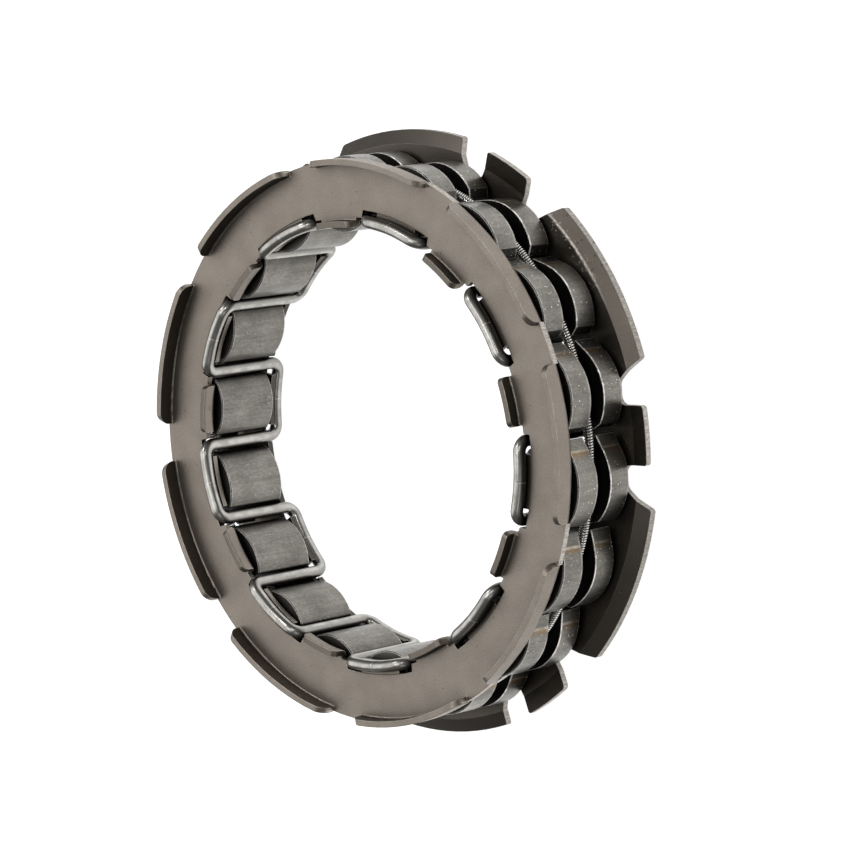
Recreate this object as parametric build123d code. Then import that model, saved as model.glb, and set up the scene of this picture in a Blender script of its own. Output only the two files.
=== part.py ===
from build123d import *
from math import cos, hypot, radians, sin, tan
import os

# Sprag clutch for an annular gap between two races.
# The ring lies flat: its axis is Z, the front plate is up and the rear plate is down.
# The origin is on the axis, in the plane of the rear wire loops that the ring stands on.
# Angles are in degrees, anticlockwise from X seen from above. Lengths are in millimetres.

# Races that the clutch works between
INNER_RACE_R = 24.0        # radius of the shaft that the sprags grip
RACE_GAP = 8.33            # radial space between the two races
SPRAG_STAND = 0.12         # how far a free sprag stands past each race

# Sprags
SPRAG_COUNT = 18
SPRAG_PHASE = 8.4          # angle of the first sprag's centre line
SPRAG_LENGTH = 8.2         # along the axis
OUTER_CAM_R = 6.2          # radius of the cam that meets the outer race
OUTER_CAM_LEAN = -0.5      # angle from the centre line to the outer contact
INNER_CAM_R = 5.25         # radius of the cam that meets the inner race
INNER_CAM_LEAN = 0.6       # angle from the centre line to the inner contact
CAM_CORNER = -42.0         # where the outer cam ends in a sharp corner, about its own centre
CAM_TANGENT = 39.0         # where the outer cam runs out into the flat flank
FLANK_LENGTH = 1.85        # flat flank that follows the outer cam
HEEL_LENGTH = 1.2          # short steep flank below the sharp corner
HEEL_SLOPE = 197.5         # direction of the steep flank
NECK_RISE = 3.3            # from the inner race to where the body is narrowest
NECK_HALF = 3.2            # half of the body's width at the neck
LOBE_GAP = 0.2             # room between the inner lobe and a wire run
LOBE_ROUND = 0.45          # rounding where the inner cam meets the neck
SLOT_WIDTH = 2.1           # groove for the garter spring, along the axis
SLOT_FLOOR_R = 14.0        # radius of the groove's crowned floor
SPRAG_EDGE = 0.12          # broken edge round each end face

# Garter spring
COIL_D = 1.15              # outside diameter of the coil
COIL_DEPTH = 2.03          # from the outer race down to the middle of the coil
COIL_SEAT_GAP = 0.32       # room between the coil and the groove's crowned floor

# Retaining wire
WIRE_D = 1.4
WIRE_STAND = 0.7           # room between the inner race and the wire's axial runs
WIRE_BEND = 1.3            # centre-line radius of the corners
LOOP_BOW = 0.15            # how far a loop's middle stands past the runs' radius
LOOP_BOW_R = 20.0          # centre-line radius of a loop's gentle bow
SEAT_GAP = 0.02            # between a loop and the seat that it bears on

# Side plates, both from the same sheet
SHEET = 0.7
END_GAP = 0.45             # room between a sprag's end and a plate
BEND_INSIDE = 0.2          # inside radius of every bend
HOLE_STEP = 0.2            # from the wire runs' radius out to the edge of the hole
POCKET_GAP = 0.1           # room beside the wire in a pocket
POCKET_DEPTH = 0.4         # room outside the wire in a pocket
SEAT_INSET = 0.5           # how far the seat under a loop reaches inside the wire runs' radius
SEAT_DEPTH = 0.1           # how far the seat is coined below the plate's face

# Front plate's tabs round the hole
TAB_CLEARANCE = 0.5        # between the tabs and the inner race
TAB_HEIGHT = 1.3           # tab's tip above the plate's face
TAB_ANGLE = 13.0
TAB_CORNER = 0.7

# Front plate's guiding lips
LIP_CLEARANCE = 0.1        # between the lips and the outer race
LIP_ANGLE = 31.2
LIP_PHASE = 37.6           # angle of the first lip's centre
LIP_HEIGHT = 1.8           # lip's tip above the plate's face
LIP_CORNER = 1.3
RIM_STEP = 0.2             # how far the rim stays inside the lips between them

# Rear plate's wide flanges
FLANGE_COUNT = 6           # wide flanges, with a short one between every two
FLANGE_PHASE = 27.3        # angle of the first wide flange's centre
FLANGE_REACH = 2.8         # how far the wide flanges stand past the front plate's rim
FLANGE_ANGLE = 32.2        # stretch of a wide flange at its edge
SIDE_SLANT = 41.3          # from a short flange's centre line to the nearest side of a wide one
CREASE_STEP = 1.2          # from the front plate's rim out to the crease
CREASE_ANGLE = 27.0        # how far the wide flanges lean away from the front plate
FLANGE_CORNER = 0.45

# Rear plate's short flanges
SHORT_REACH = 0.1          # how far the short flanges stand past the wide ones
SHORT_HALF = 3.3           # half of a short flange's width, between its parallel sides
SHORT_CREASE_STEP = 0.7    # from the front plate's rim out to the crease
SHORT_CREASE_ANGLE = 13.0  # how far the short flanges lean towards the front plate
GAP_DEPTH = 3.9            # from the wide flanges' edge down to the gap's flat bottom
GAP_ROUND = 1.0            # rounding at both ends of the gap's bottom

# Sizes that follow from those above
PITCH = 360 / SPRAG_COUNT
LOOP_COUNT = SPRAG_COUNT // 2
OUTER_RACE_R = INNER_RACE_R + RACE_GAP
OUTER_REACH = OUTER_RACE_R + SPRAG_STAND
INNER_REACH = INNER_RACE_R - SPRAG_STAND
NECK_R = INNER_RACE_R + NECK_RISE
COIL_R = OUTER_RACE_R - COIL_DEPTH
FLOOR_TOP = COIL_R - COIL_D / 2 - COIL_SEAT_GAP
WIRE_R = INNER_RACE_R + WIRE_STAND + WIRE_D / 2
RUN_OFFSET = WIRE_R * sin(radians(PITCH / 2))
LOBE_HALF = RUN_OFFSET - WIRE_D / 2 - LOBE_GAP
HALF_DEPTH = SPRAG_LENGTH / 2 + END_GAP + SHEET
LOOP_Z = HALF_DEPTH - SEAT_DEPTH + SEAT_GAP + WIRE_D / 2
MID_Z = LOOP_Z + WIRE_D / 2
BEND_OUTSIDE = BEND_INSIDE + SHEET
HOLE_R = WIRE_R + HOLE_STEP
POCKET_HALF = RUN_OFFSET + WIRE_D / 2 + POCKET_GAP
POCKET_R = WIRE_R + WIRE_D / 2 + POCKET_DEPTH
SEAT_IN_R = WIRE_R - SEAT_INSET
SEAT_HALF = RUN_OFFSET - WIRE_BEND - POCKET_GAP
TAB_IN_R = INNER_RACE_R + TAB_CLEARANCE
TAB_WIDTH = 2 * TAB_IN_R * sin(radians(TAB_ANGLE / 2))
LIP_OUT_R = OUTER_RACE_R - LIP_CLEARANCE
LIP_WIDTH = 2 * LIP_OUT_R * sin(radians(LIP_ANGLE / 2))
RIM_R = LIP_OUT_R - RIM_STEP
CORE_OUT_R = LIP_OUT_R - BEND_OUTSIDE
CORE_IN_R = POCKET_R + SHEET
FLANGE_R = RIM_R + FLANGE_REACH
CREASE_R = RIM_R + CREASE_STEP
SHORT_R = FLANGE_R + SHORT_REACH
SHORT_CREASE_R = RIM_R + SHORT_CREASE_STEP
GAP_FLOOR = FLANGE_R - GAP_DEPTH
SHORT_ZONE = 2 * (SHORT_HALF + GAP_ROUND)
HALF_FLANGE_PITCH = 180 / FLANGE_COUNT
REACH = 3.0                # how far a cutting block passes the sheet


def polar(radius, angle, z=0.0):
    """Point at a radius and an angle about the ring's axis."""
    return Vector(radius * cos(radians(angle)), radius * sin(radians(angle)), z)


def spread(count, phase):
    """Angles of count equal places round the ring."""
    return [phase + 360 * k / count for k in range(count)]


def ring(r_in, r_out, z_low, z_high):
    """Plain flat ring about the axis."""
    height = z_high - z_low
    place = Pos(0, 0, z_low)
    align = (Align.CENTER, Align.CENTER, Align.MIN)
    return place * (Cylinder(r_out, height, align=align) - Cylinder(r_in, height, align=align))


def block(angle, width, r_in, r_out, z_low, z_high):
    """Box across a stretch of the ring, square to the radius at its middle."""
    align = (Align.MIN, Align.CENTER, Align.MIN)
    box = Box(r_out - r_in, width, z_high - z_low, align=align)
    return Rot(0, 0, angle) * Pos(r_in, 0, z_low) * box


def rounded_block(angle, width, r_in, r_out, z_low, z_high, corner):
    """Box like block, with its two upper corners rounded as seen from the axis."""
    box = block(angle, width, r_in, r_out, z_low, z_high)
    along = polar(1, angle)
    edges = [e for e in box.edges() if abs((e % 0.5).dot(along)) > 0.99 and e.center().Z > z_high - 0.01]
    return fillet(edges, corner)


# Sprags

def sprag_outline():
    """Section of one sprag, with its centre line on X."""
    outer = polar(OUTER_REACH - OUTER_CAM_R, OUTER_CAM_LEAN)
    inner = polar(INNER_REACH + INNER_CAM_R, INNER_CAM_LEAN)
    corner = outer + polar(OUTER_CAM_R, CAM_CORNER)
    runout = outer + polar(OUTER_CAM_R, CAM_TANGENT)
    tip = runout + polar(FLANK_LENGTH, CAM_TANGENT + 90)
    heel = corner + polar(HEEL_LENGTH, HEEL_SLOPE)
    lobe_left = lobe_end(inner, LOBE_HALF)
    lobe_right = lobe_end(inner, -LOBE_HALF)
    cam_top = outer + polar(OUTER_CAM_R, 0)
    cam_bottom = inner + polar(INNER_CAM_R, 180)
    outline = [
        ThreePointArc(corner, cam_top, runout),
        Line(runout, tip),
        ThreePointArc(tip, Vector(NECK_R, NECK_HALF), lobe_left),
        ThreePointArc(lobe_left, cam_bottom, lobe_right),
        ThreePointArc(lobe_right, Vector(NECK_R, -NECK_HALF), heel),
        Line(heel, corner),
    ]
    section = make_face(outline)
    ends = [v for v in section.vertices() if v.X < NECK_R]
    return fillet(ends, LOBE_ROUND)


def lobe_end(centre, half):
    """Point on the inner cam at a given distance from the sprag's centre line."""
    side = half - centre.Y
    return Vector(centre.X - (INNER_CAM_R ** 2 - side ** 2) ** 0.5, half)


def spring_slot():
    """Groove cut into a sprag from outside, down to a crowned floor."""
    across = 2 * OUTER_CAM_R
    mouth = Pos(FLOOR_TOP - SLOT_FLOOR_R, 0) * Rectangle(2 * OUTER_REACH, 2 * across)
    floor = Pos(FLOOR_TOP - SLOT_FLOOR_R, 0) * Circle(SLOT_FLOOR_R)
    return extrude(mouth - floor, SLOT_WIDTH / 2, both=True)


def sprag():
    """One sprag on X, centred on its mid-plane."""
    body = extrude(sprag_outline(), SPRAG_LENGTH / 2, both=True)
    end_faces = body.faces().filter_by(GeomType.PLANE).filter_by(Axis.Z)
    body = chamfer([e for f in end_faces for e in f.edges()], SPRAG_EDGE)
    return body - spring_slot()


# Garter spring

def garter_spring():
    """Closed coil as the ring of its outside diameter."""
    return Torus(COIL_R, COIL_D / 2)


# Retaining wire

def wire_period(phase):
    """Stretch of wire from the middle of one axial run to the same place two runs on."""
    bow = WIRE_R + LOOP_BOW
    half = PITCH / 2
    points = [
        polar(WIRE_R, phase - half, 0),
        polar(WIRE_R, phase - half, LOOP_Z),
        polar(bow, phase, LOOP_Z),
        polar(WIRE_R, phase + half, LOOP_Z),
        polar(WIRE_R, phase + half, -LOOP_Z),
        polar(bow, phase + PITCH, -LOOP_Z),
        polar(WIRE_R, phase + PITCH + half, -LOOP_Z),
        polar(WIRE_R, phase + PITCH + half, 0),
    ]
    radii = [WIRE_BEND, LOOP_BOW_R, WIRE_BEND, WIRE_BEND, LOOP_BOW_R, WIRE_BEND]
    path = FilletPolyline(*points, radius=radii)
    start = Plane(origin=points[0], z_dir=(0, 0, 1))
    return sweep(start * Circle(WIRE_D / 2), path=path)


def retaining_wire():
    """Serpentine wire that passes between the sprags and hooks over both plates in turn."""
    turns = [wire_period(angle) for angle in spread(LOOP_COUNT, SPRAG_PHASE + PITCH)]
    return turns[0].fuse(*turns[1:])


# Side plates, drawn with the outer face at z = 0 and the sheet below it

def bent_ring(wall_r, height, outward):
    """Ring of the sheet whose edge is bent up at a right angle; outward picks the rim or the hole."""
    side = 1 if outward else -1
    flat_end = wall_r - side * (BEND_OUTSIDE + SHEET)
    inside = wall_r - side * SHEET
    points = [
        (flat_end, -SHEET),
        (wall_r - side * BEND_OUTSIDE, -SHEET),
        (wall_r, -SHEET + BEND_OUTSIDE),
        (wall_r, height),
        (inside, height),
        (inside, BEND_INSIDE),
        (inside - side * BEND_INSIDE, 0),
        (flat_end, 0),
    ]
    slant = sin(radians(45))
    outer_mid = (wall_r - side * BEND_OUTSIDE * (1 - slant), -SHEET + BEND_OUTSIDE * (1 - slant))
    inner_mid = (inside - side * BEND_INSIDE * (1 - slant), BEND_INSIDE * (1 - slant))
    outline = [
        Line(points[0], points[1]),
        ThreePointArc(points[1], outer_mid, points[2]),
        Line(points[2], points[3]),
        Line(points[3], points[4]),
        Line(points[4], points[5]),
        ThreePointArc(points[5], inner_mid, points[6]),
        Line(points[6], points[7]),
        Line(points[7], points[0]),
    ]
    return revolve(Plane.XZ * make_face(outline), Axis.Z)


def hole_edge(loop_phase):
    """Inner part of a plate, with an open pocket for each wire loop and a coined seat across it."""
    outer = CORE_IN_R + SHEET
    inner = TAB_IN_R - SHEET
    loops = spread(LOOP_COUNT, loop_phase)
    room = ring(inner, POCKET_R, -REACH, REACH)
    seat = ring(SEAT_IN_R, outer, -SHEET, 0) - ring(inner, POCKET_R, -SEAT_DEPTH, REACH)
    edge = ring(HOLE_R, outer, -SHEET, 0)
    edge -= [room & block(a, 2 * POCKET_HALF, inner, outer, -REACH, REACH) for a in loops]
    edge += [seat & block(a, 2 * SEAT_HALF, inner, outer, -REACH, REACH) for a in loops]
    return edge


def tabbed_edge(loop_phase):
    """The front plate's inner part, with a tab bent up between every two pockets."""
    outer = CORE_IN_R + SHEET
    inner = TAB_IN_R - SHEET
    tabs = spread(LOOP_COUNT, loop_phase + PITCH)
    edge = hole_edge(loop_phase)
    edge -= [block(a, TAB_WIDTH, inner, TAB_IN_R + BEND_OUTSIDE, -REACH, REACH) for a in tabs]
    wall = bent_ring(TAB_IN_R, TAB_HEIGHT, outward=False)
    for angle in tabs:
        edge += wall & rounded_block(angle, TAB_WIDTH, inner, outer, -REACH, TAB_HEIGHT, TAB_CORNER)
    return edge


def front_plate():
    """Flat plate with guiding lips bent up round its rim."""
    outer = LIP_OUT_R + REACH
    low = CORE_OUT_R * cos(radians(LIP_ANGLE / 2)) - SHEET
    flat = ring(CORE_IN_R, CORE_OUT_R, -SHEET, 0)
    rim = ring(CORE_OUT_R - SHEET, RIM_R, -SHEET, 0)
    wall = bent_ring(LIP_OUT_R, LIP_HEIGHT, outward=True)
    plate = flat + tabbed_edge(SPRAG_PHASE + PITCH)
    lips = []
    for angle in spread(LOOP_COUNT, LIP_PHASE):
        rim -= block(angle, LIP_WIDTH, low, outer, -REACH, REACH)
        lips.append(wall & rounded_block(angle, LIP_WIDTH, low, outer, -REACH, LIP_HEIGHT, LIP_CORNER))
    return plate + rim + lips


def flange_gap():
    """Notch beside a short flange that lies on X, between it and the next wide flange."""
    corner = polar(FLANGE_R, HALF_FLANGE_PITCH - FLANGE_ANGLE / 2)
    floor_end = corner.Y - (corner.X - GAP_FLOOR) * tan(radians(SIDE_SLANT))
    far = corner + polar(REACH, SIDE_SLANT)
    outside = [(far.X, SHORT_HALF), (far.X, far.Y)]
    mouth = Polygon((GAP_FLOOR, SHORT_HALF), *outside, (GAP_FLOOR, floor_end), align=None)
    return fillet([v for v in mouth.vertices() if v.X < corner.X], GAP_ROUND)


def flange_outline():
    """Outline of the rear plate, with short flanges between gaps and wide ones."""
    outline = Circle(FLANGE_R)
    gap = flange_gap()
    end = Circle(SHORT_R) & (Pos(FLANGE_R, 0) * Rectangle(2 * REACH, SHORT_ZONE))
    for angle in spread(FLANGE_COUNT, FLANGE_PHASE + HALF_FLANGE_PITCH):
        outline += Rot(0, 0, angle) * end
        outline -= Rot(0, 0, angle) * (gap + mirror(gap, Plane.XZ))
    corners = [v for v in outline.vertices() if hypot(v.X, v.Y) > FLANGE_R - FLANGE_CORNER]
    return fillet(corners, FLANGE_CORNER)


def creased_disc(crease_r, angle):
    """Disc of the sheet, to past the flanges, whose outer band leans towards the outer face."""
    lean = radians(angle)
    far = FLANGE_R + SHEET
    rise = (far - crease_r) * tan(lean) - SHEET
    crease_above = (crease_r - SHEET * tan(lean / 2), 0)
    below = [(CORE_IN_R, -SHEET), (crease_r, -SHEET), (far, rise)]
    above = [(far, rise + SHEET / cos(lean)), crease_above, (CORE_IN_R, 0)]
    section = Plane.XZ * make_face(Polyline(*below, *above, close=True))
    return revolve(section, Axis.Z)


def rear_plate():
    """Plate whose wide and short flanges lean opposite ways; drawn like the front one."""
    outline = extrude(flange_outline(), REACH, both=True)
    low = GAP_FLOOR + GAP_ROUND
    high = FLANGE_R + REACH
    middles = spread(FLANGE_COUNT, FLANGE_PHASE + HALF_FLANGE_PITCH)
    zones = [block(a, SHORT_ZONE, low, high, -REACH, REACH) for a in middles]
    wide = (creased_disc(CREASE_R, CREASE_ANGLE) & outline) - zones
    short = creased_disc(SHORT_CREASE_R, -SHORT_CREASE_ANGLE) & outline
    return wide + [short & zone for zone in zones] + hole_edge(SPRAG_PHASE)


# Assembly

def write(name, shape):
    """Write one node at its place."""
    shape.label = name
    export_step(shape, f"parts/{name}.step")


def main():
    """Build every piece and write it."""
    os.makedirs("parts", exist_ok=True)
    middle = Pos(0, 0, MID_Z)
    write("front_plate", middle * Pos(0, 0, HALF_DEPTH) * front_plate())
    write("rear_plate", middle * Pos(0, 0, -HALF_DEPTH) * mirror(rear_plate(), Plane.XY))
    write("retaining_wire", middle * retaining_wire())
    write("garter_spring", middle * garter_spring())
    one = sprag()
    for index, angle in enumerate(spread(SPRAG_COUNT, SPRAG_PHASE)):
        write(f"sprag_{index + 1:02d}", middle * Rot(0, 0, angle) * one)


main()
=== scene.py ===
import logging
from dataclasses import dataclass
from enum import Enum
from math import pi
from typing import Any, ClassVar

import bpy
from mathutils import Matrix, Vector


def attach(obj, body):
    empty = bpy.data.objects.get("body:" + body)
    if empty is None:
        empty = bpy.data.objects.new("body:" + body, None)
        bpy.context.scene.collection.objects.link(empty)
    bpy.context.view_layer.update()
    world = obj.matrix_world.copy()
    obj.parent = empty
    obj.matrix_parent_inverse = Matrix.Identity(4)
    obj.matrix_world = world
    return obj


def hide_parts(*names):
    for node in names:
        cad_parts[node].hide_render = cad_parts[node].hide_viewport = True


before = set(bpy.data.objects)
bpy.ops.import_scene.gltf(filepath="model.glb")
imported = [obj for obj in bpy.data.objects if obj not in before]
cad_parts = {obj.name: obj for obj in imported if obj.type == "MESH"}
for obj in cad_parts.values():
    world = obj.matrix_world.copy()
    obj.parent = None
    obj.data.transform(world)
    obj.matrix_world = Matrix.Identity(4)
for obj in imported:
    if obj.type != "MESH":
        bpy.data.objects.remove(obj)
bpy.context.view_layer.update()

# Sprag clutch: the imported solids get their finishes, the garter spring gets its turns,
# and the ring lies on a pale floor under soft light. Meshes, lights and the camera are in
# metres. The finishes measure in millimetres and degrees.
LOG = logging.getLogger("sprag_clutch")

MM = 0.001                 # one millimetre, in metres

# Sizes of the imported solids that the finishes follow, in millimetres and degrees.
MID_Z = 6.57               # the sprags' mid-plane above the floor
SPRAG_PITCH = 20.0         # angle from one sprag to the next
SPRAG_PHASE = 8.4          # angle of the first sprag
INNER_CONTACT_R = 24.0     # circle through the sprags' inner contacts
SLOT_HALF = 1.05           # half of the slot that the garter spring runs in
END_HALF = 4.08            # from a sprag's middle to just inside its end faces
FLANK_ACROSS = 3.67        # from a sprag's centre line to where its flank begins
CREASE_R = 33.23           # crease of the rear plate's flanges

RAYS = 6                   # rays that the edge and cranny effects send out from a point
MOTTLE_LOW = 0.35          # noise where the mottle is dark
MOTTLE_HIGH = 0.65         # noise where it is bright

Socket = bpy.types.NodeSocket
Triple = tuple[float, float, float]
Colour = Triple
Band = Triple                      # middle, half width and soft edge of a stretch
Ramp = tuple[float, float]         # where a mask is 0, and where it is 1


class Effect(Enum):
    """Effects that more than one finish uses, each one a shader node group."""

    PLACE = "ring place"
    MOTTLE = "mottle"
    PITS = "pits"
    GRAIN = "grain"
    EDGES = "worn edges"
    CRANNY = "crannies"


class Graph:
    """A node tree in the making, with short calls for the nodes that the finishes use."""

    def __init__(self, tree: bpy.types.NodeTree) -> None:
        """Keep the tree of a material or of a group, which the calls add to."""
        self.tree = tree

    def node(self, kind: str, values: dict[Any, Any] | None = None, **settings: Any) -> bpy.types.Node:
        """Add a node.

        Args:
            kind: Blender's name for the node's type.
            values: Socket values or sockets to link, by input name or index.
            settings: Properties of the node itself.

        Returns:
            The new node.
        """
        node = self.tree.nodes.new(kind)
        for name, value in settings.items():
            setattr(node, name, value)
        for key, value in (values or {}).items():
            self.feed(node.inputs[key], value)
        return node

    def feed(self, socket: Socket, value: Any) -> None:
        """Link a socket to another, or set its value.

        Args:
            socket: Input to feed.
            value: Output socket, number, vector or colour.
        """
        if isinstance(value, Socket):
            self.tree.links.new(value, socket)
        elif socket.type == "RGBA" and len(value) == 3:
            socket.default_value = (*value, 1.0)
        else:
            socket.default_value = value

    def math(self, operation: str, *values: Any) -> Socket:
        """Add a Math node with its inputs in order, and give its result."""
        return self.node("ShaderNodeMath", dict(enumerate(values)), operation=operation).outputs[0]

    def vector(self, operation: str, *values: Any) -> bpy.types.Node:
        """Add a Vector Math node with its inputs in order, and give the node."""
        return self.node("ShaderNodeVectorMath", dict(enumerate(values)), operation=operation)

    def step(self, value: Any, low: float, high: float) -> Socket:
        """Rise smoothly from 0 to 1 while a value goes from low to high.

        Args:
            value: Value to read.
            low: Where the result is 0.
            high: Where the result is 1, which may be below low.

        Returns:
            The mask's socket.
        """
        ramp = {0: value, 1: low, 2: high}
        if low > high:
            ramp = {0: value, 1: high, 2: low, 3: 1.0, 4: 0.0}
        return self.node("ShaderNodeMapRange", ramp, interpolation_type="SMOOTHSTEP").outputs[0]

    def band(self, value: Any, middle: float, half: float, soft: float) -> Socket:
        """Mask the stretch round a middle value, of a half width and with a soft edge."""
        away = self.math("ABSOLUTE", self.math("SUBTRACT", value, middle))
        return self.step(away, half + soft, half)

    def both(self, *masks: Any) -> Socket:
        """Multiply masks together.

        Args:
            masks: Two or more masks.

        Returns:
            The product's socket.
        """
        result = masks[0]
        for mask in masks[1:]:
            result = self.math("MULTIPLY", result, mask)
        return result

    def lay(self, under: Any, over: Any, mask: Any) -> Socket:
        """Lay a colour over another through a mask.

        Args:
            under: Colour below.
            over: Colour above.
            mask: Share of the upper one.

        Returns:
            The colour's socket.
        """
        node = self.tree.nodes.new("ShaderNodeMix")
        node.data_type = "RGBA"
        self.feed(node.inputs[0], mask)
        self.feed(node.inputs[6], under)
        self.feed(node.inputs[7], over)
        return node.outputs[2]

    def slide(self, low: Any, high: Any, mask: Any) -> Socket:
        """Go from a low number to a high one by a mask."""
        return self.node("ShaderNodeMix", {0: mask, 2: low, 3: high}).outputs[0]

    def upward(self) -> Socket:
        """Give how far a face looks along the ring's axis."""
        normal = self.node("ShaderNodeTexCoord").outputs["Normal"]
        return self.node("ShaderNodeSeparateXYZ", {0: normal}).outputs[2]

    def millimetres(self) -> Socket:
        """Give the point in the ring's own frame, in millimetres."""
        point = self.node("ShaderNodeTexCoord").outputs["Object"]
        return self.node("ShaderNodeVectorMath", {0: point, "Scale": 1 / MM}, operation="SCALE").outputs[0]


class Effects:
    """Builds each shared effect once and places it in a finish."""

    def __init__(self) -> None:
        """Start with no group built."""
        self.groups: dict[Effect, bpy.types.NodeTree] = {}

    def place(self, graph: Graph, effect: Effect, **values: Any) -> Any:
        """Put an effect into a finish.

        Args:
            graph: Graph of the finish.
            effect: Which effect.
            values: Its inputs, by name with underscores for spaces.

        Returns:
            The group's outputs.
        """
        if effect not in self.groups:
            self.groups[effect] = self.build(effect)
        node = graph.tree.nodes.new("ShaderNodeGroup")
        node.node_tree = self.groups[effect]
        for name, value in values.items():
            graph.feed(node.inputs[name.replace("_", " ")], value)
        return node.outputs

    def patches(
        self, graph: Graph, scale: float, low: float = MOTTLE_LOW, high: float = MOTTLE_HIGH
    ) -> Socket:
        """Place the mottle and give its mask."""
        return self.place(graph, Effect.MOTTLE, Scale=scale, Low=low, High=high)["Mask"]

    def spots(self, graph: Graph, scale: float, size: float, share: float) -> Socket:
        """Place the pits and give their mask."""
        return self.place(graph, Effect.PITS, Scale=scale, Size=size, Share=share)["Mask"]

    def streaks(self, graph: Graph, scales: Triple) -> Socket:
        """Place the grain at its scales along X, Y and Z, and give its mask."""
        named = dict(zip(("Scale_X", "Scale_Y", "Scale_Z"), scales))
        return self.place(graph, Effect.GRAIN, **named)["Mask"]

    def build(self, effect: Effect) -> bpy.types.NodeTree:
        """Build an effect's group.

        Args:
            effect: Which effect.

        Returns:
            The group's tree.
        """
        makers = {
            Effect.PLACE: self.ring_place,
            Effect.MOTTLE: self.mottle,
            Effect.PITS: self.pits,
            Effect.GRAIN: self.grain,
            Effect.EDGES: self.edges,
            Effect.CRANNY: self.cranny,
        }
        return makers[effect]()

    def open(
        self, effect: Effect, inputs: dict[str, float], outputs: dict[str, str]
    ) -> tuple[Graph, Any, Any]:
        """Start a group with its sockets.

        Args:
            effect: The effect that the group makes.
            inputs: Default values by input name.
            outputs: Socket types by output name.

        Returns:
            Its graph, what it is given, and what it gives out.
        """
        tree = bpy.data.node_groups.new(effect.value, "ShaderNodeTree")
        for name, value in inputs.items():
            socket = tree.interface.new_socket(name=name, in_out="INPUT", socket_type="NodeSocketFloat")
            socket.default_value = value
        for name, kind in outputs.items():
            tree.interface.new_socket(name=name, in_out="OUTPUT", socket_type=kind)
        graph = Graph(tree)
        return graph, graph.node("NodeGroupInput").outputs, graph.node("NodeGroupOutput").inputs

    def ring_place(self) -> bpy.types.NodeTree:
        """Find a point's place in the ring, and how far its face looks outwards.

        Returns:
            The group's tree.
        """
        names = ("Radius", "Angle", "Height", "Across", "Outward")
        graph, _, out = self.open(Effect.PLACE, {}, {name: "NodeSocketFloat" for name in names})
        point = graph.millimetres()
        axes = graph.node("ShaderNodeSeparateXYZ", {0: point}).outputs
        squares = [graph.math("MULTIPLY", axis, axis) for axis in (axes[0], axes[1])]
        radius = graph.math("SQRT", graph.math("ADD", *squares))
        angle = graph.math("DEGREES", graph.math("ARCTAN2", axes[1], axes[0]))
        aside = graph.math("SUBTRACT", angle, SPRAG_PHASE)
        local = graph.math("RADIANS", graph.math("WRAP", aside, SPRAG_PITCH / 2, -SPRAG_PITCH / 2))
        level = graph.vector("MULTIPLY", point, (1.0, 1.0, 0.0)).outputs[0]
        ray = graph.vector("NORMALIZE", level).outputs[0]
        normal = graph.node("ShaderNodeTexCoord").outputs["Normal"]
        graph.feed(out["Radius"], radius)
        graph.feed(out["Angle"], angle)
        graph.feed(out["Height"], axes[2])
        graph.feed(out["Across"], graph.math("MULTIPLY", radius, graph.math("SINE", local)))
        graph.feed(out["Outward"], graph.vector("DOT_PRODUCT", ray, normal).outputs["Value"])
        return graph.tree

    def mottle(self) -> bpy.types.NodeTree:
        """Make an uneven tone in soft patches.

        Returns:
            The group's tree.
        """
        inputs = {"Scale": 0.5, "Detail": 5.0, "Low": MOTTLE_LOW, "High": MOTTLE_HIGH}
        graph, given, out = self.open(Effect.MOTTLE, inputs, {"Mask": "NodeSocketFloat"})
        cloud = {"Vector": graph.millimetres(), "Scale": given["Scale"], "Detail": given["Detail"]}
        noise = graph.node("ShaderNodeTexNoise", cloud).outputs[0]
        spread = {0: noise, 1: given["Low"], 2: given["High"]}
        graph.feed(out["Mask"], graph.node("ShaderNodeMapRange", spread).outputs[0])
        return graph.tree

    def pits(self) -> bpy.types.NodeTree:
        """Scatter small round spots.

        Returns:
            The group's tree.
        """
        inputs = {"Scale": 2.0, "Size": 0.2, "Share": 0.3}
        graph, given, out = self.open(Effect.PITS, inputs, {"Mask": "NodeSocketFloat"})
        spacing = {"Vector": graph.millimetres(), "Scale": given["Scale"]}
        cells = graph.node("ShaderNodeTexVoronoi", spacing).outputs
        inside = graph.math("SUBTRACT", 1.0, graph.math("DIVIDE", cells["Distance"], given["Size"]))
        chance = graph.node("ShaderNodeSeparateColor", {0: cells["Color"]}).outputs[0]
        chosen = graph.math("LESS_THAN", chance, given["Share"])
        graph.feed(out["Mask"], graph.both(graph.math("MAXIMUM", inside, 0.0), chosen))
        return graph.tree

    def grain(self) -> bpy.types.NodeTree:
        """Draw fine streaks, which are longest along the axis of the smallest scale.

        Returns:
            The group's tree.
        """
        inputs = {"Scale X": 6.0, "Scale Y": 6.0, "Scale Z": 0.6}
        graph, given, out = self.open(Effect.GRAIN, inputs, {"Mask": "NodeSocketFloat"})
        scales = graph.node("ShaderNodeCombineXYZ", {axis: given[axis] for axis in range(3)}).outputs[0]
        drawn = graph.vector("MULTIPLY", graph.millimetres(), scales).outputs[0]
        noise = graph.node("ShaderNodeTexNoise", {"Vector": drawn, "Scale": 1.0, "Detail": 4.0}).outputs[0]
        graph.feed(out["Mask"], graph.step(noise, 0.3, 0.7))
        return graph.tree

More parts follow.
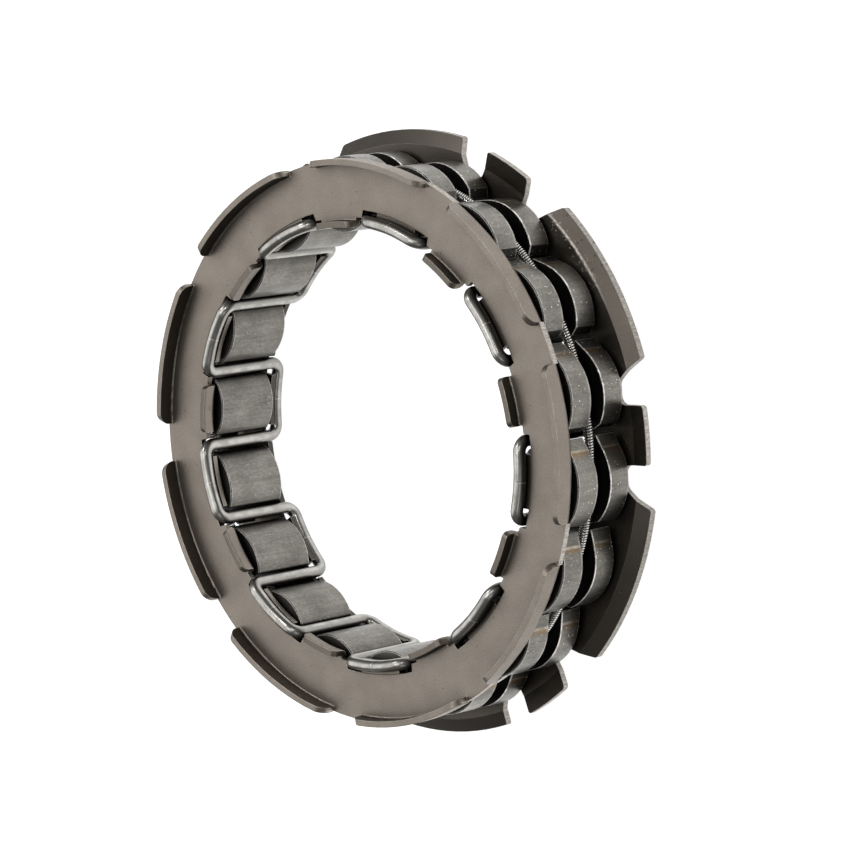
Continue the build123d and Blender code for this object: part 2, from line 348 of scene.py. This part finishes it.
    def edges(self) -> bpy.types.NodeTree:
        """Find the edges that get wear and painted highlight, and give a normal that rounds them.

        Returns:
            The group's tree.
        """
        inputs = {"Radius": 0.1, "Low": 0.015, "High": 0.14}
        outputs = {"Mask": "NodeSocketFloat", "Normal": "NodeSocketVector"}
        graph, given, out = self.open(Effect.EDGES, inputs, outputs)
        size = graph.math("MULTIPLY", given["Radius"], MM)
        rounded = graph.node("ShaderNodeBevel", {"Radius": size}, samples=RAYS).outputs[0]
        plain = graph.node("ShaderNodeNewGeometry").outputs["Normal"]
        turn = graph.math("SUBTRACT", 1.0, graph.vector("DOT_PRODUCT", rounded, plain).outputs["Value"])
        spread = {0: turn, 1: given["Low"], 2: given["High"]}
        graph.feed(out["Mask"], graph.node("ShaderNodeMapRange", spread).outputs[0])
        graph.feed(out["Normal"], rounded)
        return graph.tree

    def cranny(self) -> bpy.types.NodeTree:
        """Find the places that neighbours close in.

        Returns:
            The group's tree.
        """
        inputs = {"Reach": 2.0, "Open": 0.9, "Closed": 0.2}
        graph, given, out = self.open(Effect.CRANNY, inputs, {"Mask": "NodeSocketFloat"})
        reach = graph.math("MULTIPLY", given["Reach"], MM)
        free = graph.node("ShaderNodeAmbientOcclusion", {"Distance": reach}, samples=RAYS).outputs["AO"]
        spread = {0: free, 1: given["Closed"], 2: given["Open"], 3: 1.0, 4: 0.0}
        graph.feed(out["Mask"], graph.node("ShaderNodeMapRange", spread).outputs[0])
        return graph.tree


def darken(colour: Colour, share: float) -> Colour:
    """Bring a colour down to a share of itself."""
    return tuple(share * channel for channel in colour)


@dataclass
class Surface:
    """What a finish feeds its shader with, while it is being painted."""

    colour: Any
    rough: Any
    height: Any                    # relief
    matt: Any = 0.0                # share of the mirror gloss that is lost


@dataclass(frozen=True)
class Steel:
    """A steel finish: its colours, its gloss, and how it is worn.

    The subclasses add the zones that only their own pieces have.
    """

    name: str
    body: Colour
    dark: Colour
    bright_wear_and_highlight: Colour
    gloss_rough: float
    matt_rough: float
    mottle_scale: float
    mottle_share: float
    grain: Triple
    grain_depth: float
    pit_scale: float
    pit_size: float
    pit_share: float
    edge_radius: float
    cranny_reach: float
    # share of the painted shade laid in the crannies
    cranny_shade_share: float
    edge_scatter: float            # how much of the mirror gloss the worn and highlighted edges lose

    # Painted shade in the crannies, and the pits, as shares of the dark colour.
    cranny_shade_tone: ClassVar[float] = 0.12      # shares of the dark colour
    pit_tone: ClassVar[float] = 0.3
    pit_cover: ClassVar[float] = 0.9
    pit_depth: ClassVar[float] = 0.03
    least_wear: ClassVar[float] = 0.55     # share of the wear that is left in the dark patches
    sheltered: ClassVar[Ramp] = (0.95, 0.6)    # how closed in an edge is

    def material(self, effects: Effects) -> bpy.types.Material:
        """Build the material.

        Args:
            effects: Shared effects.

        Returns:
            The finished material.
        """
        material = bpy.data.materials.new(self.name)
        material.use_nodes = True
        graph = Graph(material.node_tree)
        shader = material.node_tree.nodes["Principled BSDF"].inputs
        mottle = effects.patches(graph, self.mottle_scale)
        grain = effects.streaks(graph, self.grain)
        edges = effects.place(graph, Effect.EDGES, Radius=self.edge_radius)
        cranny = effects.place(graph, Effect.CRANNY, Reach=self.cranny_reach)["Mask"]
        tone = graph.slide(grain, mottle, self.mottle_share)
        rough = graph.slide(self.matt_rough, self.gloss_rough, tone)
        relief = graph.math("MULTIPLY", grain, self.grain_depth)
        skin = Surface(graph.lay(self.dark, self.body, tone), rough, relief)
        self.zones(graph, effects, skin)
        # Painted shade: the dark colour is laid where neighbours close a point in, as ambient occlusion
        # finds it.
        painted_cranny_shade = graph.both(cranny, self.cranny_shade_share)
        skin.colour = graph.lay(skin.colour, darken(self.dark, self.cranny_shade_tone), painted_cranny_shade)
        # Edge wear and painted highlight: the bright colour along the rounded edges, weaker in the mottle's
        # dark patches and none in crannies.
        patchy = graph.slide(self.least_wear, 1.0, mottle)
        worn = graph.both(edges["Mask"], patchy, graph.step(cranny, *self.sheltered))
        skin.colour = graph.lay(skin.colour, self.bright_wear_and_highlight, worn)
        pits = effects.spots(graph, self.pit_scale, self.pit_size, self.pit_share)
        filled = graph.both(pits, self.pit_cover)
        skin.colour = graph.lay(skin.colour, darken(self.dark, self.pit_tone), filled)
        skin.height = graph.math("SUBTRACT", skin.height, graph.math("MULTIPLY", pits, self.pit_depth))
        shape = {"Height": skin.height, "Distance": MM, "Normal": edges["Normal"]}
        bump = graph.node("ShaderNodeBump", shape)
        metallic = 1.0
        if self.edge_scatter:
            matt = graph.math("MAXIMUM", skin.matt, graph.both(worn, self.edge_scatter))
            metallic = graph.math("SUBTRACT", 1.0, matt)
        graph.feed(shader["Base Color"], skin.colour)
        graph.feed(shader["Metallic"], metallic)
        graph.feed(shader["Roughness"], skin.rough)
        graph.feed(shader["Normal"], bump.outputs["Normal"])
        return material

    def zones(self, graph: Graph, effects: Effects, skin: Surface) -> None:
        """Change nothing; subclasses paint their own zones here."""


@dataclass(frozen=True)
class CreaseHighlight:
    """Painted highlight and glints along the crease of one flange of the rear plate, uneven, with small
    pits.
    """

    where: Band = (37.0, 4.0, 11.0)        # angle of the flange, in degrees
    core: Band = (CREASE_R, 0.05, 0.25)    # radius of the line
    core_least: float = 0.3
    core_patches: Triple = (1.9, 0.4, 0.62)
    halo: Band = (CREASE_R - 0.3, 0.1, 1.0)    # radius of the spots beside it
    halo_share: float = 0.6
    halo_spots: Triple = (3.2, 0.42, 0.6)
    halo_edge: Ramp = (0.05, 0.4)
    scatter: float = 0.5
    rise: float = 0.03
    holes: Triple = (1.1, 0.2, 0.6)
    hole_edge: Ramp = (0.1, 0.25)
    hole_dark: float = 0.85
    hole_depth: float = 0.05

    def paint(
        self, graph: Graph, effects: Effects, skin: Surface, steel: "PlateSteel", place: Any, low: Any
    ) -> None:
        """Lay the painted highlight line, the painted glints beside it and its small holes.

        Args:
            graph: Graph of the material.
            effects: Shared effects.
            skin: Surface to paint on.
            steel: Finish of the plate, which has the colours.
            place: Outputs of the ring place effect.
            low: Mask of the rear plate.
        """
        flange = graph.both(low, graph.band(place["Angle"], *self.where))
        uneven = graph.slide(self.core_least, 1.0, effects.patches(graph, *self.core_patches))
        core = graph.both(graph.band(place["Radius"], *self.core), uneven)
        spots = graph.step(effects.spots(graph, *self.halo_spots), *self.halo_edge)
        halo = graph.both(graph.band(place["Radius"], *self.halo), spots, self.halo_share)
        line = graph.both(graph.math("MAXIMUM", core, halo), flange)
        hole = graph.both(graph.step(effects.spots(graph, *self.holes), *self.hole_edge), flange)
        # Painted highlight: the crease line and the glints beside it, on one flange only.
        skin.colour = graph.lay(skin.colour, steel.bright_wear_and_highlight, line)
        skin.colour = graph.lay(skin.colour, steel.shadow, graph.both(hole, self.hole_dark))
        raised = graph.math("ADD", skin.height, graph.both(line, self.rise))
        skin.height = graph.math("SUBTRACT", raised, graph.both(hole, self.hole_depth))
        skin.matt = graph.both(line, self.scatter)


@dataclass(frozen=True)
class PlateSteel(Steel):
    """Stamped sheet: bright cut rims, painted shade on the lips, tabs and rear plate, and a painted
    highlight on one crease.
    """

    sheared: Colour
    shadow: Colour
    rear_shade_share: float
    rear_top: Ramp = (3.2, 3.0)            # heights
    front_face: Ramp = (11.9, 12.0)
    tip: Ramp = (12.8, 12.95)
    tab: Ramp = (26.5, 26.0)               # radii
    lip: Ramp = (31.0, 31.2)
    flange: Ramp = (30.5, 30.8)
    rim_start: Ramp = (31.9, 31.95)
    rim_end: Ramp = (32.1, 32.08)
    outward: Ramp = (0.3, 0.8)             # how far a face looks away from the axis, or towards it
    side_on: Ramp = (0.35, 0.15)           # how far a cut face looks along the axis
    lip_dim: float = 0.6
    tab_dim: float = 0.8
    tip_dim: float = 0.5
    cut_grain: Triple = (9.0, 9.0, 1.2)
    cut_rough: float = 0.42
    cut_relief: float = 0.008
    crease: CreaseHighlight = CreaseHighlight()

    def zones(self, graph: Graph, effects: Effects, skin: Surface) -> None:
        """Paint the cut rims, painted shade on the lips, tabs and rear plate, and the crease's painted
        highlight.

        Args:
            graph: Graph of the material.
            effects: Shared effects.
            skin: Surface to paint on.
        """
        place = effects.place(graph, Effect.PLACE)
        low = graph.step(place["Height"], *self.rear_top)
        cut = self.cut(graph, place, low)
        fine = effects.streaks(graph, self.cut_grain)
        skin.colour = graph.lay(skin.colour, graph.lay(self.body, self.sheared, fine), cut)
        skin.rough = graph.slide(skin.rough, self.cut_rough, cut)
        skin.height = graph.math("ADD", skin.height, graph.both(fine, cut, self.cut_relief))
        # Painted shade on the front plate's lips and tabs.
        skin.colour = graph.lay(skin.colour, self.shadow, self.dimmed(graph, place))
        # Painted shade over the rear plate, which lies behind the sprags and the front plate; its cut rims
        # stay bright.
        under = graph.both(low, graph.math("SUBTRACT", 1.0, cut))
        skin.colour = graph.lay(skin.colour, self.shadow, graph.both(under, self.rear_shade_share))
        self.crease.paint(graph, effects, skin, self, place, low)

    def cut(self, graph: Graph, place: Any, low: Any) -> Socket:
        """Mask the cut rims of both plates.

        Args:
            graph: Graph of the material.
            place: Outputs of the ring place effect.
            low: Mask of the rear plate.

        Returns:
            The mask's socket.
        """
        side = graph.step(graph.math("ABSOLUTE", graph.upward()), *self.side_on)
        starts = graph.step(place["Radius"], *self.rim_start)
        front = graph.both(starts, graph.step(place["Radius"], *self.rim_end))
        rear = graph.both(graph.step(place["Radius"], *self.flange), low)
        return graph.both(side, graph.math("MAXIMUM", front, rear))

    def dimmed(self, graph: Graph, place: Any) -> Socket:
        """Mask the painted shade on the lips' inner faces and the tabs' outer faces and tips, on the front
        plate.

        Args:
            graph: Graph of the material.
            place: Outputs of the ring place effect.

        Returns:
            The mask's socket.
        """
        inward = (-edge for edge in self.outward)
        tab = graph.step(place["Radius"], *self.tab)
        lip = graph.step(place["Radius"], *self.lip)
        inside = graph.both(graph.step(place["Outward"], *inward), lip, self.lip_dim)
        outside = graph.both(graph.step(place["Outward"], *self.outward), tab, self.tab_dim)
        tip = graph.both(graph.step(place["Height"], *self.tip), tab, self.tip_dim)
        faces = graph.math("MAXIMUM", graph.math("MAXIMUM", inside, outside), tip)
        return graph.both(faces, graph.step(place["Height"], *self.front_face))


@dataclass(frozen=True)
class WireSteel(Steel):
    """Drawn wire: a painted highlight along its crown, painted shade beside it, and a fine mark across each
    loop's middle.
    """

    crown_highlight_share: float
    flank_shade_share: float
    crown: Ramp = (0.85, 1.0)              # how squarely a face looks along the axis or at it
    crown_least: float = 0.25
    crown_patches: Triple = (0.8, 0.4, 0.6)
    flank: Ramp = (0.8, 0.1)
    flank_shade_tone: float = 0.2                # share of the dark colour in the painted shade
    loop: Ramp = (27.0, 26.5)              # radii
    mark: Band = (0.0, 0.05, 0.05)
    mark_share: float = 0.5
    mark_depth: float = 0.03

    def zones(self, graph: Graph, effects: Effects, skin: Surface) -> None:
        """Paint shade on the flanks, paint a highlight along the crown, and mark each loop.

        Args:
            graph: Graph of the material.
            effects: Shared effects.
            skin: Surface to paint on.
        """
        place = effects.place(graph, Effect.PLACE)
        inward = graph.math("MULTIPLY", place["Outward"], -1.0)
        square = graph.math("MAXIMUM", inward, graph.math("ABSOLUTE", graph.upward()))
        # Painted shade on the faces beside the crown.
        flank = graph.both(graph.step(square, *self.flank), self.flank_shade_share)
        skin.colour = graph.lay(skin.colour, darken(self.dark, self.flank_shade_tone), flank)
        # Painted highlight along the crown, on the faces that look along the axis or at it.
        uneven = graph.slide(self.crown_least, 1.0, effects.patches(graph, *self.crown_patches))
        crown = graph.both(graph.step(square, *self.crown), uneven, self.crown_highlight_share)
        skin.colour = graph.lay(skin.colour, self.bright_wear_and_highlight, crown)
        inner = graph.step(place["Radius"], *self.loop)
        mark = graph.both(graph.band(place["Across"], *self.mark), inner)
        skin.colour = graph.lay(skin.colour, self.bright_wear_and_highlight, graph.both(mark, self.mark_share))
        skin.height = graph.math("SUBTRACT", skin.height, graph.both(mark, self.mark_depth))


@dataclass(frozen=True)
class SpragSteel(Steel):
    """Ground sprag: streaked cams with painted shade on the flanks, a straw line at the flank, a slot
    painted dark with shade, painted highlights on the slot lips and end rims, and dull end faces.
    """

    straw: Colour
    pale: Colour
    slot_shade: Colour
    flank_shade_strength: float                      # share of the painted shade on the faces beside the contacts
    streak_grain: Triple = (2.4, 2.4, 0.15)
    streak_tone: float = 0.5               # shares of the dark colour
    flank_shade_tone: float = 0.3
    streak_share: float = 0.28
    beside: Ramp = (0.97, 0.6)             # how squarely a face looks at the axis or away from it
    outer_cam: Ramp = (29.5, 30.2)         # radii
    slot_wall: Ramp = (26.5, 27.5)
    inner_cam: Ramp = (26.0, 25.0)
    line_patches: Triple = (0.9, 0.4, 0.62)
    straw_line: Band = (FLANK_ACROSS, 0.08, 0.3)   # distances from the sprag's centre line
    straw_least: float = 0.35
    pale_line: Band = (FLANK_ACROSS + 0.25, 0.04, 0.14)
    pale_most: float = 0.8
    pale_least: float = 0.3
    glints: Triple = (2.4, 0.24, 0.42)
    glint_edge: Ramp = (0.1, 0.5)
    glint_inside: float = 0.35             # share that is left on the inner cams
    glint_scatter: float = 0.8
    slot: Ramp = (SLOT_HALF + 0.05, SLOT_HALF + 0.01)  # heights above or below the mid-plane
    slot_lip_highlight: Band = (SLOT_HALF + 0.08, 0.08, 0.05)
    end: Ramp = (END_HALF - 0.02, END_HALF)
    end_rim_highlight: Band = (END_HALF - 0.06, 0.06, 0.05)
    end_share: float = 0.8
    rim_highlight_share: float = 0.8
    upper_half: Ramp = (-0.1, 0.1)
    upper_lip: float = 0.25                # share of the painted highlight that is left on the upper lip
    rim_patches: Triple = (1.6, 0.42, 0.55)
    rim_least: float = 0.2
    side_on: Ramp = (0.7, 0.4)             # how far a rim's face looks along the axis
    rim_scatter: float = 0.5
    dull_rough: float = 0.45
    rim_rough: float = 0.2
    ring_at: tuple[float, float] = (167.92, 3.11)  # angle and height of the round mark on one inner cam
    ring: Band = (0.4, 0.03, 0.1)
    ring_share: float = 0.15
    ring_rise: float = 0.04

    def zones(self, graph: Graph, effects: Effects, skin: Surface) -> None:
        """Paint the cams, the slot's painted shade, the end faces, the painted highlights on the slot lips
        and end rims, and the round mark.

        Args:
            graph: Graph of the material.
            effects: Shared effects.
            skin: Surface to paint on.
        """
        place = effects.place(graph, Effect.PLACE)
        outer = graph.step(place["Radius"], *self.outer_cam)
        self.cams(graph, effects, skin, place, outer)
        rise = graph.math("SUBTRACT", place["Height"], MID_Z)
        aside = graph.math("ABSOLUTE", rise)
        slot = graph.both(graph.step(aside, *self.slot), graph.step(place["Radius"], *self.slot_wall))
        end = graph.step(aside, *self.end)
        # Painted shade: the slot's inside in near-black.
        skin.colour = graph.lay(skin.colour, self.slot_shade, slot)
        skin.colour = graph.lay(skin.colour, self.dark, graph.both(end, self.end_share))
        skin.rough = graph.slide(skin.rough, self.dull_rough, graph.math("MAXIMUM", slot, end))
        # Painted highlights along the slot's lips, mostly on the lower side, and along the end faces' rims.
        upper = graph.slide(1.0, self.upper_lip, graph.step(rise, *self.upper_half))
        lips = graph.both(graph.band(aside, *self.slot_lip_highlight), outer, upper)
        rims = graph.both(graph.band(aside, *self.end_rim_highlight), self.rim_highlight_share)
        uneven = graph.slide(self.rim_least, 1.0, effects.patches(graph, *self.rim_patches))
        side = graph.step(graph.math("ABSOLUTE", graph.upward()), *self.side_on)
        bright = graph.both(graph.math("MAXIMUM", lips, rims), uneven, side)
        skin.colour = graph.lay(skin.colour, self.bright_wear_and_highlight, bright)
        skin.rough = graph.slide(skin.rough, self.rim_rough, bright)
        skin.matt = graph.math("MAXIMUM", skin.matt, graph.both(bright, self.rim_scatter))
        self.round_mark(graph, skin, place)

    def cams(self, graph: Graph, effects: Effects, skin: Surface, place: Any, outer: Any) -> None:
        """Paint the streaks, painted shade on the flanks, the two lines where the flank begins, and the
        painted glints.

        Args:
            graph: Graph of the material.
            effects: Shared effects.
            skin: Surface to paint on.
            place: Outputs of the ring place effect.
            outer: Mask of the outer cams.
        """
        streaks = graph.both(effects.streaks(graph, self.streak_grain), self.streak_share)
        skin.colour = graph.lay(skin.colour, darken(self.dark, self.streak_tone), streaks)
        # Painted shade on the faces beside the contacts.
        beside = graph.step(graph.math("ABSOLUTE", place["Outward"]), *self.beside)
        flanks = graph.both(beside, self.flank_shade_strength)
        skin.colour = graph.lay(skin.colour, darken(self.dark, self.flank_shade_tone), flanks)
        patch = effects.patches(graph, *self.line_patches)
        straw = graph.both(graph.band(place["Across"], *self.straw_line), outer)
        strong = graph.slide(self.straw_least, 1.0, patch)
        skin.colour = graph.lay(skin.colour, self.straw, graph.both(straw, strong))
        pale = graph.both(graph.band(place["Across"], *self.pale_line), outer)
        faded = graph.slide(self.pale_most, self.pale_least, patch)
        skin.colour = graph.lay(skin.colour, self.pale, graph.both(pale, faded))
        spots = graph.step(effects.spots(graph, *self.glints), *self.glint_edge)
        glint = graph.both(spots, graph.slide(self.glint_inside, 1.0, outer), patch)
        skin.colour = graph.lay(skin.colour, self.bright_wear_and_highlight, glint)
        skin.matt = graph.both(glint, self.glint_scatter)

    def round_mark(self, graph: Graph, skin: Surface, place: Any) -> None:
        """Raise the small ring on one inner cam.

        Args:
            graph: Graph of the material.
            skin: Surface to paint on.
            place: Outputs of the ring place effect.
        """
        angle, height = self.ring_at
        along = graph.both(graph.math("SUBTRACT", place["Angle"], angle), INNER_CONTACT_R * pi / 180)
        offset = {0: along, 1: graph.math("SUBTRACT", place["Height"], height)}
        away = graph.vector("LENGTH", graph.node("ShaderNodeCombineXYZ", offset).outputs[0]).outputs["Value"]
        ring = graph.both(graph.band(away, *self.ring), graph.step(place["Radius"], *self.inner_cam))
        skin.colour = graph.lay(skin.colour, self.bright_wear_and_highlight, graph.both(ring, self.ring_share))
        skin.height = graph.math("ADD", skin.height, graph.both(ring, self.ring_rise))


class Finish(Enum):
    """The four finishes of the clutch, named after the record's material slots."""

    PLATE = "plate_steel"
    DRAWN = "drawn_wire"
    SPRING = "spring_wire"
    SPRAG = "sprag_steel"


FINISHES: dict[Finish, Steel] = {
    Finish.PLATE: PlateSteel(
        name="stamped_plate_steel",
        body=(0.265, 0.233, 0.2), dark=(0.215, 0.188, 0.16), bright_wear_and_highlight=(0.62, 0.57, 0.51),
        gloss_rough=0.36, matt_rough=0.48, mottle_scale=0.35, mottle_share=0.35,
        grain=(6.0, 6.0, 6.0), grain_depth=0.006, pit_scale=1.0, pit_size=0.12, pit_share=0.22,
        edge_radius=0.13, edge_scatter=0.3, cranny_reach=3.5, cranny_shade_share=0.75,
        sheared=(0.55, 0.53, 0.495), shadow=(0.07, 0.062, 0.053), rear_shade_share=0.85),
    Finish.DRAWN: WireSteel(
        name="drawn_wire_steel",
        body=(0.35, 0.339, 0.315), dark=(0.29, 0.279, 0.258), bright_wear_and_highlight=(0.8, 0.78, 0.74),
        gloss_rough=0.28, matt_rough=0.36, mottle_scale=0.5, mottle_share=0.5,
        grain=(2.2, 2.2, 2.2), grain_depth=0.002, pit_scale=1.4, pit_size=0.09, pit_share=0.15,
        edge_radius=0.0, edge_scatter=0.0, cranny_reach=1.2, cranny_shade_share=0.6,
        crown_highlight_share=0.4, flank_shade_share=0.85),
    Finish.SPRING: Steel(
        name="coiled_spring_steel",
        body=(0.85, 0.83, 0.79), dark=(0.6, 0.58, 0.55), bright_wear_and_highlight=(0.95, 0.93, 0.9),
        gloss_rough=0.16, matt_rough=0.26, mottle_scale=0.6, mottle_share=0.5,
        grain=(4.0, 4.0, 4.0), grain_depth=0.001, pit_scale=2.0, pit_size=0.05, pit_share=0.05,
        edge_radius=0.02, edge_scatter=0.0, cranny_reach=0.6, cranny_shade_share=0.2),
    Finish.SPRAG: SpragSteel(
        name="ground_sprag_steel",
        body=(0.285, 0.271, 0.244), dark=(0.145, 0.137, 0.122), bright_wear_and_highlight=(0.98, 0.96, 0.92),
        gloss_rough=0.26, matt_rough=0.36, mottle_scale=0.3, mottle_share=0.5,
        grain=(6.0, 6.0, 2.0), grain_depth=0.003, pit_scale=1.5, pit_size=0.12, pit_share=0.35,
        edge_radius=0.15, edge_scatter=0.6, cranny_reach=2.4, cranny_shade_share=0.9,
        straw=(0.24, 0.155, 0.08), pale=(0.5, 0.44, 0.36), slot_shade=(0.02, 0.018, 0.017), flank_shade_strength=0.55),
}


@dataclass
class Sheets:
    """The two stamped side plates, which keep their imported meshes."""

    front: str = "front_plate"
    rear: str = "rear_plate"

    def dress(self, materials: dict[Finish, bpy.types.Material]) -> None:
        """Give both plates their finish."""
        for name in (self.front, self.rear):
            put_finish(name, materials[Finish.PLATE])


@dataclass
class Wire:
    """The serpentine retaining wire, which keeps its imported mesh."""

    node: str = "retaining_wire"

    def dress(self, materials: dict[Finish, bpy.types.Material]) -> None:
        """Give the wire its finish."""
        put_finish(self.node, materials[Finish.DRAWN])


@dataclass
class Sprags:
    """The eighteen sprags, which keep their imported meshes."""

    count: int = 18

    def dress(self, materials: dict[Finish, bpy.types.Material]) -> None:
        """Give every sprag its finish."""
        for number in range(1, self.count + 1):
            put_finish(f"sprag_{number:02d}", materials[Finish.SPRAG])


@dataclass
class GarterSpring:
    """The garter spring's real coil, in place of its solid."""

    ring_r: float = 30.3 * MM      # middle of the coil, about the ring's axis
    coil_d: float = 1.15 * MM      # outside diameter of the coil
    wire_d: float = 0.25 * MM
    turns: int = 634
    steps: int = 12                # faces along one turn
    sides: int = 4                 # faces round the wire
    weld: float = 0.01 * MM        # how near two points are that become one where the ends meet

    def build(self) -> bpy.types.Object:
        """Wind a straight coil and close it into a ring.

        Returns:
            The finished coil.
        """
        length = 2 * pi * self.ring_r
        middle = (self.coil_d - self.wire_d) / 2
        bpy.ops.object.select_all(action="DESELECT")
        radius = self.wire_d / 2
        bpy.ops.mesh.primitive_circle_add(vertices=self.sides, radius=radius, location=(0, middle, 0))
        coil = bpy.context.object
        coil.name = "garter_spring_coil"
        bpy.ops.object.transform_apply(location=True, rotation=True, scale=True)
        wind = coil.modifiers.new("wind", "SCREW")
        wind.axis = "X"
        wind.angle = 2 * pi
        wind.screw_offset = length / self.turns
        wind.iterations = self.turns
        wind.steps = self.steps
        wind.render_steps = self.steps
        bpy.ops.object.modifier_apply(modifier="wind")
        self.centre(length)
        self.close(coil, length)
        bpy.ops.object.shade_smooth()
        return coil

    def centre(self, length: float) -> None:
        """Move the straight coil so that its middle is at the origin.

        Args:
            length: Length of the straight coil.
        """
        bpy.ops.object.mode_set(mode="EDIT")
        bpy.ops.mesh.select_all(action="SELECT")
        bpy.ops.transform.translate(value=(-length / 2, 0, 0))
        bpy.ops.object.mode_set(mode="OBJECT")

    def close(self, coil: bpy.types.Object, length: float) -> None:
        """Bend the coil round the axis, join its ends and lift it to the sprags' middle.

        Args:
            coil: Straight coil about the origin.
            length: Its length.
        """
        along = [vertex.co.x for vertex in coil.data.vertices]
        bend = coil.modifiers.new("close", "SIMPLE_DEFORM")
        bend.deform_method = "BEND"
        bend.deform_axis = "Z"
        bend.angle = 2 * pi * (max(along) - min(along)) / length
        bpy.ops.object.modifier_apply(modifier="close")
        bpy.ops.object.mode_set(mode="EDIT")
        bpy.ops.mesh.select_all(action="SELECT")
        bpy.ops.transform.translate(value=(0, -self.ring_r, MID_Z * MM))
        bpy.ops.mesh.remove_doubles(threshold=self.weld)
        bpy.ops.mesh.normals_make_consistent(inside=False)
        bpy.ops.object.mode_set(mode="OBJECT")

    def dress(self, coil: bpy.types.Object, materials: dict[Finish, bpy.types.Material]) -> None:
        """Give the coil its finish and let it stand for its solid.

        Args:
            coil: Finished coil.
            materials: Materials by finish.
        """
        coil.data.materials.append(materials[Finish.SPRING])
        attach(coil, "cage")
        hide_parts("garter_spring")


@dataclass(frozen=True)
class Lamp:
    """A square soft light that faces the clutch."""

    name: str
    place: Triple
    side: float
    power: float                   # watts

    def hang(self) -> None:
        """Add the light to the scene."""
        data = bpy.data.lights.new(self.name, "AREA")
        data.size = self.side
        data.energy = self.power
        lamp = bpy.data.objects.new(self.name, data)
        bpy.context.scene.collection.objects.link(lamp)
        lamp.location = self.place
        lamp.rotation_euler = (-Vector(self.place)).to_track_quat("-Z", "Y").to_euler()


LAMPS = (
    Lamp("sky_panel", (-0.62, 0.05, 0.52), 0.8, 2.3),
    Lamp("overhead", (0.05, 0.12, 0.8), 0.5, 2.2),
    Lamp("key", (-0.2, 0.45, 0.5), 0.14, 1.1),
    Lamp("fill", (0.5, -0.4, 0.5), 0.3, 0.4),
    Lamp("edge_light", (0.4, 0.24, 0.5), 0.1, 0.5),
)


@dataclass
class Studio:
    """Pale floor, soft lights and the camera."""

    floor_side: float = 3.0
    floor_tone: Colour = (0.35, 0.35, 0.35)
    floor_rough: float = 0.8
    glow_tone: Colour = (1.0, 1.0, 1.0)
    glow: float = 0.97
    world_tone: Colour = (0.17, 0.17, 0.17)
    lens: float = 162.15
    clip_start: float = 0.01
    camera_at: Triple = (0.310566, 0.023736, 0.312380)
    image_right: Triple = (0.707828, -0.108904, -0.697939)
    image_up: Triple = (0.040693, 0.992690, -0.113626)

    def build(self) -> None:
        """Set up everything that isn't the clutch."""
        self.floor()
        self.world()
        for lamp in LAMPS:
            lamp.hang()
        self.camera()

    def floor(self) -> None:
        """Lay the pale floor that the rear loops stand on."""
        bpy.ops.object.select_all(action="DESELECT")
        bpy.ops.mesh.primitive_plane_add(size=self.floor_side, location=(0, 0, 0))
        floor = bpy.context.object
        floor.name = "floor"
        material = bpy.data.materials.new("pale_floor")
        material.use_nodes = True
        shader = material.node_tree.nodes["Principled BSDF"].inputs
        shader["Base Color"].default_value = (*self.floor_tone, 1.0)
        shader["Roughness"].default_value = self.floor_rough
        shader["Emission Color"].default_value = (*self.glow_tone, 1.0)
        shader["Emission Strength"].default_value = self.glow
        floor.data.materials.append(material)

    def world(self) -> None:
        """Fill the room with even light."""
        world = bpy.data.worlds.new("room")
        world.use_nodes = True
        world.node_tree.nodes["Background"].inputs[0].default_value = (*self.world_tone, 1.0)
        bpy.context.scene.world = world
        bpy.context.scene.view_settings.view_transform = "Standard"

    def camera(self) -> None:
        """Stand the camera where the photograph was taken from."""
        data = bpy.data.cameras.new("camera")
        data.lens = self.lens
        data.clip_start = self.clip_start
        camera = bpy.data.objects.new("camera", data)
        bpy.context.scene.collection.objects.link(camera)
        right = Vector(self.image_right)
        up = Vector(self.image_up)
        turn = Matrix((right, up, right.cross(up))).transposed().to_4x4()
        camera.matrix_world = Matrix.Translation(self.camera_at) @ turn
        bpy.context.scene.camera = camera


def put_finish(node: str, material: bpy.types.Material) -> None:
    """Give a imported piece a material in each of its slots.

    Args:
        node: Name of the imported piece.
        material: Its material.
    """
    mesh = bpy.data.objects[node].data
    if not mesh.materials:
        mesh.materials.append(material)
    for index in range(len(mesh.materials)):
        mesh.materials[index] = material


def main() -> None:
    """Dress the clutch, wind its spring, and set the studio."""
    logging.basicConfig(level=logging.INFO, format="%(name)s: %(message)s")
    effects = Effects()
    materials = {finish: steel.material(effects) for finish, steel in FINISHES.items()}
    for part in (Sheets(), Wire(), Sprags()):
        part.dress(materials)
        LOG.info("dressed %s", type(part).__name__)
    spring = GarterSpring()
    coil = spring.build()
    spring.dress(coil, materials)
    LOG.info("wound %s with %d faces", coil.name, len(coil.data.polygons))
    Studio().build()
    LOG.info("set the studio")


if __name__ == "__main__":
    main()
